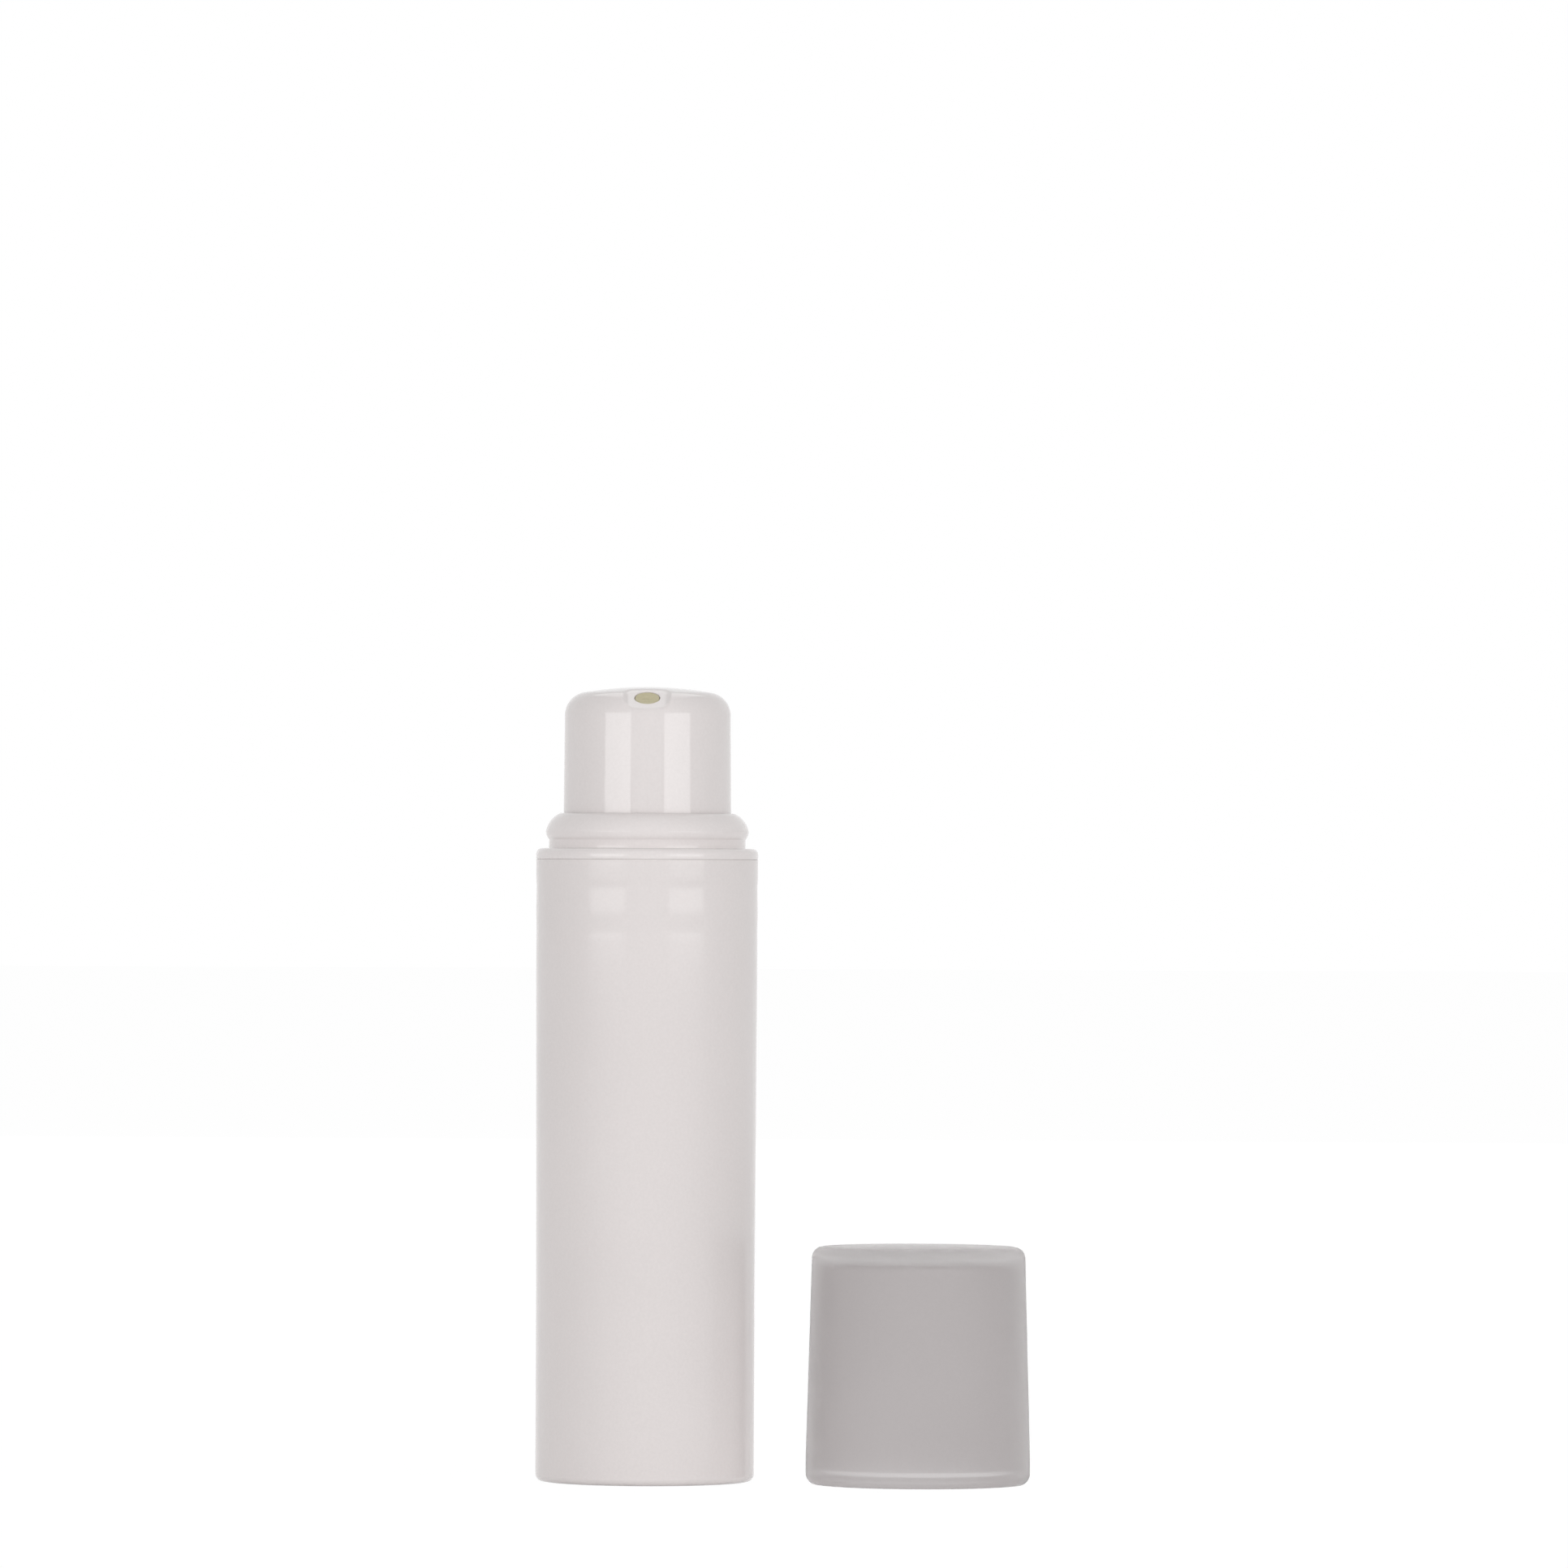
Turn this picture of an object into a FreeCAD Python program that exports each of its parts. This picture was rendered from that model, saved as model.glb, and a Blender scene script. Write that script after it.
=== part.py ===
import FreeCAD, Part
import math
import os

# An airless pump bottle with its overcap taken off. Millimetres, +Z up.
# The origin is the middle of the base on the surface, and the outlet faces -Y.

# Shared clearances
overrun = 1.0               # how far a cutting shape runs past what it cuts
snap_fit = 0.05             # between pieces that are snapped together for good
running_fit = 0.04          # radial, between pieces that slide or turn on each other
stop_gap = 0.10             # along the axis, where a moving piece meets its stop

# Container
body_diameter = 25.0        # straight lower part
mouth_flare = 0.2           # the wall stands this much further out at the mouth
straight_height = 22.0      # the flare starts here
container_height = 71.05
container_wall = 1.1
base_edge_radius = 0.8
floor_recess = 1.2          # under the floor, inside the standing ring
floor_thickness = 1.2
standing_ring_width = 1.4
vent_diameter = 2.0         # lets air in below the follower piston
notch_width = 1.6           # at the back, keeps the vent open on a flat surface
notch_depth = 0.4
mouth_edge_break = 0.12

# Snap joint between the container and the collar
groove_below_mouth = 5.0
groove_height = 1.3
groove_depth = 0.2
snap_bead_height = 0.8

# Pump collar
flange_height = 1.25
flange_edge_break = 0.45
plug_length = 9.55          # from the mouth down into the container
plug_skirt_wall = 1.2       # below the deck
collar_wall = 1.6
neck_step = 0.10            # the neck is this much smaller than the plug, on radius
neck_height = 4.0           # from the flange to the top of the collar
bead_projection = 0.37
bead_below_top = 2.1
bead_under_height = 0.92
lip_width = 0.25            # flat on top, outside the button
bead_arc_shares = (0.68, 0.44)      # outward and downward, from the lip to the crest
bead_under_shares = (0.27, 0.49)    # inward and downward, from the crest to the neck
deck_below_mouth = 6.05
deck_thickness = 1.2
tower_wall = 1.0            # ring on the deck that holds the pump
tower_catch = 0.15
tower_catch_height = 0.6

# Pump housing
chamber_diameter = 7.6
housing_wall = 1.0
housing_flange_width = 1.8
housing_flange_height = 1.0
housing_neck_height = 3.0   # above its flange
gasket_thickness = 0.5
ball_diameter = 3.5
ball_side_gap = 0.35
ball_lift = 0.8
inlet_diameter = 1.8
inlet_length = 1.2
rib_count = 3               # short ribs that keep the ball in its cage
rib_width = 0.7
rib_reach = 0.75
rib_height = 0.5

# Stem, valve rod and sliding seal
press_travel = 4.5
lost_motion = 0.9           # of the seal on the rod, opens the outlet ports
stem_diameter = 4.4
stem_wall = 0.7
shoulder_width = 0.7
shoulder_height = 0.7
rod_spigot_length = 3.0
rod_head_width = 1.0
rod_head_height = 0.6
rod_head_floor_gap = 0.25   # under the rod when the button is fully down
rod_channel_diameter = 1.6
port_diameter = 0.8
seal_height = 2.6
seal_lip_height = 0.4
seal_waist_depth = 0.55
seal_flare_height = 0.5

# Stem guide and spring
guide_clearance = 0.06
guide_skirt_wall = 1.0
guide_foot_height = 0.8
guide_top_gap = 0.3
guide_disc_height = 1.2
guide_boss_wall = 1.2
guide_boss_height = 1.0
wire_diameter = 0.7
wire_sides = 6              # the round wire is drawn with flats, to keep it light
spring_boss_gap = 0.39      # between the guide's boss and the wire
spring_turns = 5
spring_end_share = 0.30     # pitch of the end turns, as a share of the middle ones
spring_seat_gap = 0.03

# Button
button_gap = 0.15           # between the button and the collar, on radius
button_overlap = 1.7        # how far the skirt reaches into the collar at rest
button_height = 16.15
button_draft = 0.10         # on radius, over the wall
button_edge_radius = 2.7
crown_radius = 43.0
button_wall = 1.0
clip_depth = 0.22           # bead that holds the inner carrier
clip_height = 0.6
outlet_inset = 2.6          # middle of the outlet flat, in from the button's wall
outlet_below_top = 1.30
outlet_slope = 29.0         # degrees
flat_half_width = 2.9
flat_side_radius = 1.1
flat_wall = 1.1
outlet_diameter = 2.9

# Button carrier and outlet valve
carrier_below_top = 6.75
carrier_thickness = 1.2
socket_gap = 2.1            # between the socket and the guide when the button is down
socket_wall = 1.05
stem_above_carrier = 1.9    # from the underside of the carrier to the top of the stem
dome_wall = 1.1
duct_diameter = 1.6
duct_wall = 0.9
valve_recess = 0.10         # below the outlet flat
valve_flange_width = 0.5
valve_flange_height = 0.6
valve_tube_length = 1.5
valve_tube_diameter = 2.6
valve_bore_diameter = 1.2
valve_lip_thickness = 0.7
valve_slit_length = 1.3
valve_slit_width = 0.06
holder_wall = 0.75
holder_length = 2.6

# Follower piston
follower_height = 9.4
follower_floor_gap = 0.3
follower_wall = 0.9
follower_lip_height = 0.4
follower_lip_flare = 0.9    # height over which a lip opens out
follower_waist_depth = 0.36
follower_lip_width = 0.96
follower_crown_height = 1.5 # the middle stands up into the plug skirt
follower_crown_gap = 0.45
well_gap = 0.4
well_bottom_height = 0.9    # under the floor of the well, above the lower lip

# Overcap
cap_height = 27.0
cap_wall = 1.0
cap_top_thickness = 1.7
cap_taper = 0.65            # on radius, from the rim to the top
cap_straight_height = 3.0
cap_corner_radius = 1.2
cap_inner_corner_break = 0.8
cap_rim_curve_radius = 1.35 # the outside curves in to a narrow rim
cap_rim_curve_height = 1.2
cap_bead_gap = 0.165        # between the cap's wall and the collar's bead
cap_snap_overlap = 0.135    # how far the cap's bead reaches under the collar's bead
cap_snap_height = 1.3       # above the rim
cap_snap_width = 1.0
cap_lead_in = 0.15
cap_stand_gap = 5.9         # between the bottle and the cap beside it
cap_forward = 3.7

# Radii and heights worked out from the sizes above
body_radius = body_diameter / 2
mouth_radius = body_radius + mouth_flare
bore_radius = body_radius - container_wall
floor_top = floor_recess + floor_thickness
plug_radius = bore_radius - snap_fit
collar_bore_radius = plug_radius - collar_wall
neck_radius = plug_radius - neck_step
bead_radius = neck_radius + bead_projection
flange_top = container_height + flange_height
collar_top = flange_top + neck_height
plug_bottom = container_height - plug_length
deck_top = container_height - deck_below_mouth
deck_bottom = deck_top - deck_thickness
groove_middle = container_height - groove_below_mouth

chamber_radius = chamber_diameter / 2
housing_radius = chamber_radius + housing_wall
housing_flange_radius = housing_radius + housing_flange_width
housing_flange_bottom = deck_top + gasket_thickness
housing_flange_top = housing_flange_bottom + housing_flange_height
housing_top = housing_flange_top + housing_neck_height
guide_underside = housing_top + guide_top_gap
guide_top = guide_underside + guide_disc_height
guide_boss_top = guide_top + guide_boss_height

stem_radius = stem_diameter / 2
stem_bore_radius = stem_radius - stem_wall
guide_bore_radius = stem_radius + guide_clearance
guide_boss_radius = guide_bore_radius + guide_boss_wall
spring_radius = guide_boss_radius + spring_boss_gap + wire_diameter / 2
shoulder_top = guide_underside - stop_gap
shoulder_bottom = shoulder_top - shoulder_height
seal_top = shoulder_bottom - stop_gap - lost_motion
seal_bottom = seal_top - seal_height
rod_head_top = seal_bottom - running_fit
rod_head_bottom = rod_head_top - rod_head_height
chamber_floor = rod_head_bottom - press_travel - rod_head_floor_gap
ball_radius = ball_diameter / 2
cage_radius = ball_radius + ball_side_gap
ball_middle = chamber_floor - rib_height - stop_gap - ball_lift - ball_radius
cone_apex = ball_middle - (ball_radius + running_fit) * math.sqrt(2)
cone_bottom = cone_apex + inlet_diameter / 2
cone_top = cone_apex + cage_radius
housing_bottom = cone_bottom - inlet_length

button_radius = collar_bore_radius - button_gap
button_bottom = collar_top - button_overlap
button_top = button_bottom + button_height
carrier_bottom = button_top - carrier_below_top
carrier_top = carrier_bottom + carrier_thickness
stem_top = carrier_bottom + stem_above_carrier
socket_bottom = guide_boss_top + press_travel + socket_gap
outlet_radius = outlet_diameter / 2
outlet_reach = button_radius - outlet_inset

UP = FreeCAD.Vector(0, 0, 1)
CENTRE = FreeCAD.Vector(0, 0, 0)


# Drawing helpers
def through(r, z):
    """Makes the edge between its two neighbours an arc that passes through this point."""
    return ("through", FreeCAD.Vector(r, 0, z))


def rounding(before, here, after, radius):
    """Start, middle and end of the arc that rounds a corner."""
    to_before = (before - here).normalize()
    to_after = (after - here).normalize()
    half_angle = to_before.getAngle(to_after) / 2
    reach = radius / math.tan(half_angle)
    inward = (to_before + to_after).normalize()
    middle = here + inward * (radius / math.sin(half_angle) - radius)
    return here + to_before * reach, middle, here + to_after * reach


def outline(items):
    """Closed wire in the XZ plane from corners (r, z) or (r, z, rounding radius)."""
    corners = [item for item in items if item[0] != "through"]
    points = [FreeCAD.Vector(corner[0], 0, corner[1]) for corner in corners]
    starts = []
    ends = []
    rounds = []
    for index, corner in enumerate(corners):
        here = points[index]
        if len(corner) == 2:
            starts.append(here)
            ends.append(here)
            continue
        after = points[(index + 1) % len(points)]
        start, middle, end = rounding(points[index - 1], here, after, corner[2])
        rounds.append(Part.Arc(start, middle, end).toShape())
        starts.append(start)
        ends.append(end)
    spans = []
    for index, item in enumerate(items):
        if item[0] == "through":
            continue
        number = corners.index(item)
        following = items[(index + 1) % len(items)]
        start = ends[number]
        end = starts[(number + 1) % len(points)]
        if following[0] == "through":
            spans.append(Part.Arc(start, following[1], end).toShape())
        else:
            spans.append(Part.LineSegment(start, end).toShape())
    return Part.Wire(Part.__sortEdges__(spans + rounds))


def turned(items):
    """Solid of revolution about Z."""
    solid = Part.Face(outline(items)).revolve(CENTRE, UP, 360)
    if solid.Volume < 0:
        solid.reverse()
    return solid


def rod(radius, bottom, top):
    """Round bar on the Z axis."""
    return Part.makeCylinder(radius, top - bottom, FreeCAD.Vector(0, 0, bottom), UP)


def around(shape, count):
    """Copies of a shape, evenly spaced about Z."""
    copies = []
    for index in range(count):
        copy = shape.copy()
        copy.rotate(CENTRE, UP, 360 * index / count)
        copies.append(copy)
    return copies


def at_outlet(shape):
    """Takes a shape drawn about +Z from the outlet flat's middle to its place on the button."""
    middle = FreeCAD.Vector(0, -outlet_reach, button_top - outlet_below_top)
    tilt = FreeCAD.Rotation(FreeCAD.Vector(1, 0, 0), outlet_slope)
    placed = shape.copy()
    placed.Placement = FreeCAD.Placement(middle, tilt)
    return placed


# Container and follower piston
def container():
    ring_inner = body_radius - base_edge_radius - standing_ring_width
    groove_low = groove_middle - groove_height / 2
    groove_high = groove_middle + groove_height / 2
    groove_radius = bore_radius + groove_depth
    shell = turned([
        (vent_diameter / 2, floor_recess),
        (ring_inner - floor_recess / 2, floor_recess),
        (ring_inner, 0),
        (body_radius, 0, base_edge_radius),
        (body_radius, straight_height),
        (mouth_radius, container_height - mouth_edge_break),
        (mouth_radius - mouth_edge_break, container_height),
        (bore_radius, container_height),
        (bore_radius, groove_high),
        (groove_radius, groove_high - groove_depth),
        (groove_radius, groove_low + groove_depth),
        (bore_radius, groove_low),
        (bore_radius, floor_top),
        (vent_diameter / 2, floor_top),
    ])
    notch = Part.makeBox(
        notch_width, body_radius, notch_depth + overrun,
        FreeCAD.Vector(-notch_width / 2, ring_inner - floor_recess, -overrun))
    return shell.cut(notch)


def follower_piston():
    lip_radius = bore_radius - running_fit
    waist_radius = lip_radius - follower_waist_depth
    root_radius = lip_radius - follower_lip_width
    crown_radius_out = plug_radius - plug_skirt_wall - follower_crown_gap
    well_radius = housing_radius + well_gap
    bottom = floor_top + follower_floor_gap
    top = bottom + follower_height
    crown_top = top + follower_crown_height
    deck = top - follower_lip_flare
    flare = follower_lip_height + follower_lip_flare
    well_floor = bottom + well_bottom_height + follower_wall
    return turned([
        (0, well_floor),
        (well_radius, well_floor),
        (well_radius, crown_top),
        (crown_radius_out, crown_top),
        (crown_radius_out, deck),
        (root_radius, deck),
        (lip_radius, top),
        (lip_radius, top - follower_lip_height),
        (waist_radius, top - flare),
        (waist_radius, bottom + flare),
        (lip_radius, bottom + follower_lip_height),
        (lip_radius, bottom),
        (waist_radius, bottom),
        (waist_radius - follower_wall, bottom + follower_lip_flare),
        (waist_radius - follower_wall, deck - follower_wall),
        (crown_radius_out - follower_wall, deck - follower_wall),
        (crown_radius_out - follower_wall, crown_top - follower_wall),
        (well_radius + follower_wall, crown_top - follower_wall),
        (well_radius + follower_wall, well_floor - follower_wall),
        (0, well_floor - follower_wall),
    ])


# Collar, gasket and pump housing
def pump_collar():
    lip_radius = collar_bore_radius + lip_width
    crest_height = collar_top - bead_below_top
    out_share, down_share = bead_arc_shares
    in_share, under_share = bead_under_shares
    hole_radius = housing_radius + snap_fit
    tower_inner = housing_flange_radius + tower_catch
    catch_bottom = housing_flange_top + guide_foot_height + snap_fit
    tower_top = catch_bottom + tower_catch_height
    skirt_inner = plug_radius - plug_skirt_wall
    snap_radius = plug_radius + groove_depth
    snap_low = groove_middle - snap_bead_height / 2
    snap_high = groove_middle + snap_bead_height / 2
    return turned([
        (hole_radius, deck_top),
        (tower_inner, deck_top),
        (tower_inner, catch_bottom),
        (tower_inner - tower_catch * 2, catch_bottom),
        (tower_inner, tower_top),
        (tower_inner + tower_wall, tower_top),
        (tower_inner + tower_wall, deck_top),
        (collar_bore_radius, deck_top),
        (collar_bore_radius, collar_top),
        (lip_radius, collar_top),
        through(lip_radius + (bead_radius - lip_radius) * out_share,
                collar_top - bead_below_top * down_share),
        (bead_radius, crest_height),
        (bead_radius - bead_projection * in_share, crest_height - bead_under_height * under_share),
        (neck_radius, crest_height - bead_under_height),
        (neck_radius, flange_top),
        (mouth_radius - flange_edge_break, flange_top),
        (mouth_radius, flange_top - flange_edge_break),
        (mouth_radius, container_height),
        (plug_radius, container_height),
        (plug_radius, snap_high),
        (snap_radius, groove_middle),
        (plug_radius, snap_low),
        (plug_radius, plug_bottom),
        (skirt_inner, plug_bottom),
        (skirt_inner, deck_bottom),
        (hole_radius, deck_bottom),
    ])


def housing_gasket():
    return turned([
        (housing_radius + snap_fit, deck_top),
        (housing_flange_radius, deck_top),
        (housing_flange_radius, housing_flange_bottom),
        (housing_radius + snap_fit, housing_flange_bottom),
    ])


def pump_housing():
    nose_radius = cage_radius + housing_wall
    shell = turned([
        (inlet_diameter / 2, housing_bottom),
        (nose_radius, housing_bottom),
        (nose_radius, chamber_floor - housing_wall * 2),
        (housing_radius, chamber_floor - housing_wall),
        (housing_radius, housing_flange_bottom),
        (housing_flange_radius, housing_flange_bottom),
        (housing_flange_radius, housing_flange_top),
        (housing_radius, housing_flange_top),
        (housing_radius, housing_top),
        (chamber_radius, housing_top),
        (chamber_radius, chamber_floor),
        (cage_radius, chamber_floor),
        (cage_radius, cone_top),
        (inlet_diameter / 2, cone_bottom),
    ])
    rib = Part.makeBox(
        rib_reach + housing_wall / 2, rib_width, rib_height,
        FreeCAD.Vector(cage_radius - rib_reach, -rib_width / 2, chamber_floor - rib_height))
    return shell.fuse(around(rib, rib_count)).removeSplitter()


def inlet_ball():
    return Part.makeSphere(ball_radius, FreeCAD.Vector(0, 0, ball_middle))


# Stem, valve rod, sliding seal and guide
def valve_rod():
    spigot_radius = stem_bore_radius - running_fit / 2
    spigot_top = shoulder_bottom + rod_spigot_length
    body = turned([
        (0, rod_head_bottom),
        (stem_radius + rod_head_width, rod_head_bottom),
        (stem_radius + rod_head_width, rod_head_top),
        (stem_radius, rod_head_top),
        (stem_radius, shoulder_bottom),
        (spigot_radius, shoulder_bottom),
        (spigot_radius, spigot_top),
        (0, spigot_top),
    ])
    port_height = rod_head_top + lost_motion / 2
    channel_bottom = port_height - port_diameter / 2
    channel = rod(rod_channel_diameter / 2, channel_bottom, spigot_top + overrun)
    port = Part.makeCylinder(
        port_diameter / 2, stem_diameter + overrun * 2,
        FreeCAD.Vector(-stem_radius - overrun, 0, port_height), FreeCAD.Vector(1, 0, 0))
    return body.cut([channel, port])


def pump_piston():
    lip_radius = chamber_radius - running_fit
    waist_radius = lip_radius - seal_waist_depth
    bore = stem_radius + running_fit
    flare = seal_lip_height + seal_flare_height
    return turned([
        (bore, seal_bottom),
        (lip_radius, seal_bottom),
        (lip_radius, seal_bottom + seal_lip_height),
        (waist_radius, seal_bottom + flare),
        (waist_radius, seal_top - flare),
        (lip_radius, seal_top - seal_lip_height),
        (lip_radius, seal_top),
        (bore, seal_top),
    ])


def stem():
    return turned([
        (stem_bore_radius, shoulder_bottom),
        (stem_radius + shoulder_width, shoulder_bottom),
        (stem_radius + shoulder_width, shoulder_top),
        (stem_radius, shoulder_top),
        (stem_radius, stem_top),
        (stem_bore_radius, stem_top),
    ])


def stem_guide():
    skirt_inner = housing_radius + snap_fit
    skirt_outer = skirt_inner + guide_skirt_wall
    foot_top = housing_flange_top + guide_foot_height
    return turned([
        (guide_bore_radius, guide_underside),
        (skirt_inner, guide_underside),
        (skirt_inner, housing_flange_top),
        (housing_flange_radius, housing_flange_top),
        (housing_flange_radius, foot_top),
        (skirt_outer, foot_top),
        (skirt_outer, guide_top),
        (guide_boss_radius, guide_top),
        (guide_boss_radius, guide_boss_top),
        (guide_bore_radius, guide_boss_top),
    ])


# Return spring
def spring_stations():
    """Points and tangents of the spring's centre line, one each half turn."""
    low = guide_top + spring_seat_gap + wire_diameter / 2
    high = carrier_bottom - spring_seat_gap - wire_diameter / 2
    count = spring_turns * 2
    steepness = []
    for index in range(count + 1):
        bulge = math.sin(math.pi * index / count)
        steepness.append(spring_end_share + (1 - spring_end_share) * bulge)
    rises = [(steepness[i] + steepness[i + 1]) / 2 for i in range(count)]
    scale = (high - low) / sum(rises)
    half_turn = spring_radius * math.pi
    stations = []
    height = low
    for index in range(count + 1):
        angle = math.pi * index
        point = FreeCAD.Vector(
            spring_radius * math.cos(angle), spring_radius * math.sin(angle), height)
        slope = steepness[index] * scale / half_turn
        tangent = FreeCAD.Vector(-math.sin(angle), math.cos(angle), slope).normalize()
        stations.append((point, tangent))
        if index < count:
            height += rises[index] * scale
    return stations


def arc_from(start, corner, end):
    """Arc that leaves start towards corner and reaches end coming from corner."""
    middle = (start + end) / 2
    half_chord = (end - start).Length / 2
    height = (corner - middle).Length
    sagitta = half_chord * math.tan(math.atan2(height, half_chord) / 2)
    top = middle + (corner - middle).normalize() * sagitta
    return Part.Arc(start, top, end)


def biarc(start, start_tangent, end, end_tangent):
    """Two arcs that join two stations without a kink."""
    span = end - start
    along = span.dot(start_tangent + end_tangent)
    spread = 2 * (1 - start_tangent.dot(end_tangent))
    reach = (math.sqrt(along * along + spread * span.dot(span)) - along) / spread
    first = start + start_tangent * reach
    second = end - end_tangent * reach
    joint = (first + second) / 2
    return [arc_from(start, first, joint), arc_from(joint, second, end)]


def return_spring():
    stations = spring_stations()
    arcs = []
    for here, there in zip(stations, stations[1:]):
        arcs.extend(biarc(here[0], here[1], there[0], there[1]))
    path = Part.Wire([arc.toShape() for arc in arcs])
    start, heading = stations[0]
    circle = Part.Circle(start, heading, wire_diameter / 2)
    corners = [circle.value(2 * math.pi * side / wire_sides) for side in range(wire_sides + 1)]
    section = Part.makePolygon(corners)
    print_spring_gap(arcs)
    return path.makePipeShell([section], True, False)


def print_spring_gap(arcs):
    """Prints the least distance between points of the wire that are over half a turn apart."""
    samples_per_arc = 12
    points = []
    for arc in arcs:
        points.extend(arc.discretize(samples_per_arc + 1)[:-1])
    half_turn = samples_per_arc * 2
    nearest = min(
        (points[i] - points[j]).Length
        for i in range(len(points)) for j in range(i + half_turn, len(points)))
    print("spring: least gap between turns", round(nearest - wire_diameter, 3), "mm")


# Button
def button_form():
    """The outside of the button: a drafted wall, a rounded edge and a domed top."""
    top_radius = button_radius - button_draft
    dome_middle = button_top - crown_radius
    edge_out = top_radius - button_edge_radius
    edge_up = math.sqrt((crown_radius - button_edge_radius) ** 2 - edge_out ** 2)
    edge_height = dome_middle + edge_up
    lean = math.atan2(edge_out, edge_up)
    mid_turn = (lean + math.pi / 2) / 2
    return turned([
        (0, button_bottom),
        (button_radius, button_bottom),
        (top_radius, edge_height),
        through(edge_out + button_edge_radius * math.sin(mid_turn),
                edge_height + button_edge_radius * math.cos(mid_turn)),
        (crown_radius * math.sin(lean), dome_middle + crown_radius * math.cos(lean)),
        through(crown_radius * math.sin(lean / 2),
                dome_middle + crown_radius * math.cos(lean / 2)),
        (0, button_top),
    ])


def outlet_flat(deeper):
    """The sloped flat with soft sides that is cut into the front of the dome."""
    half = flat_half_width + deeper
    height = button_radius
    length = button_radius
    section = Part.Face(outline([
        (-half, -deeper, flat_side_radius + deeper),
        (half, -deeper, flat_side_radius + deeper),
        (half + flat_side_radius, height),
        (-half - flat_side_radius, height),
    ]))
    section.translate(FreeCAD.Vector(0, length, 0))
    return at_outlet(section.extrude(FreeCAD.Vector(0, -length * 2, 0)))


def crown_height(radius):
    """Height of the domed top at this distance from the axis."""
    return button_top - crown_radius + math.sqrt(crown_radius ** 2 - radius ** 2)


def button_space(gap):
    """The hollow of the button above its clip, made smaller by a gap all round."""
    radius = button_radius - button_draft - button_wall - gap
    shoulder = radius - button_edge_radius / 2
    hollow = turned([
        (0, carrier_bottom - snap_fit + gap),
        (radius, carrier_bottom - snap_fit + gap),
        (radius, button_top - button_edge_radius - button_wall),
        (shoulder, crown_height(shoulder) - button_wall - gap),
        (shoulder / 2, crown_height(shoulder / 2) - button_wall - gap),
        (0, button_top - button_wall - gap),
    ])
    return hollow.cut(outlet_flat(flat_wall + gap))


def button_shell():
    clip_top = carrier_bottom - snap_fit
    inner_radius = button_radius - button_draft - button_wall
    skirt_space = turned([
        (0, button_bottom - overrun),
        (button_radius - button_wall, button_bottom - overrun),
        (inner_radius, clip_top - clip_height),
        (inner_radius - clip_depth, clip_top),
        (0, clip_top),
    ])
    hole = at_outlet(rod(outlet_radius, -flat_wall - overrun, overrun))
    return button_form().cut([outlet_flat(0), button_space(0), skirt_space, hole])


def button_core():
    socket_radius = stem_radius + socket_wall
    dome_top = stem_top + duct_diameter + dome_wall
    duct_height = stem_top + duct_diameter / 2
    disc = rod(button_radius, carrier_bottom, carrier_top)
    dome = rod(socket_radius, carrier_bottom, dome_top)
    holder_start = flat_wall + snap_fit + valve_flange_height + snap_fit
    holder_radius = valve_tube_diameter / 2 + holder_wall
    holder = at_outlet(rod(holder_radius, -holder_start - holder_length, -holder_start))
    duct_start = FreeCAD.Vector(0, 0, duct_height)
    forward = FreeCAD.Vector(0, -1, 0)
    drop = (button_top - outlet_below_top - duct_height) / math.cos(math.radians(outlet_slope))
    duct_length = outlet_reach - drop * math.sin(math.radians(outlet_slope))
    duct_body = Part.makeCylinder(
        duct_diameter / 2 + duct_wall, duct_length, duct_start, forward)
    upper = disc.fuse([dome, holder, duct_body]).common(button_space(snap_fit))
    lower = rod(socket_radius, socket_bottom, carrier_top)
    socket = rod(stem_radius + running_fit, socket_bottom - overrun, stem_top + stop_gap)
    chamber = rod(stem_bore_radius, stem_top, dome_top - dome_wall)
    duct = Part.makeCylinder(duct_diameter / 2, duct_length, duct_start, forward)
    tube_end = holder_start + valve_tube_length + stop_gap
    tube_seat = at_outlet(rod(
        valve_tube_diameter / 2 + snap_fit, -tube_end, overrun))
    throat = at_outlet(rod(duct_diameter / 2, -drop, overrun))
    return upper.fuse(lower).cut([socket, chamber, duct, tube_seat, throat])


def outlet_valve():
    boss_radius = outlet_radius - snap_fit
    flange_radius = outlet_radius + valve_flange_width
    tube_radius = valve_tube_diameter / 2
    flange_front = -flat_wall - snap_fit
    flange_back = flange_front - valve_flange_height
    tube_back = flange_back - snap_fit - valve_tube_length
    lip_back = -valve_recess - valve_lip_thickness
    plug = turned([
        (0, -valve_recess),
        (boss_radius, -valve_recess),
        (boss_radius, flange_front),
        (flange_radius, flange_front),
        (flange_radius, flange_back),
        (tube_radius, flange_back),
        (tube_radius, tube_back),
        (valve_bore_diameter / 2, tube_back),
        (valve_bore_diameter / 2, lip_back),
        (0, lip_back),
    ])
    slit = Part.makeBox(
        valve_slit_length, valve_slit_width, valve_recess + valve_lip_thickness + overrun,
        FreeCAD.Vector(-valve_slit_length / 2, -valve_slit_width / 2, lip_back - overrun))
    return at_outlet(plug.cut(slit))


# Overcap
def rim_curve_inset(drop):
    """How far the outside of the cap has curved in, this far below the start of the curve."""
    return cap_rim_curve_radius - math.sqrt(cap_rim_curve_radius ** 2 - drop ** 2)


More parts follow.
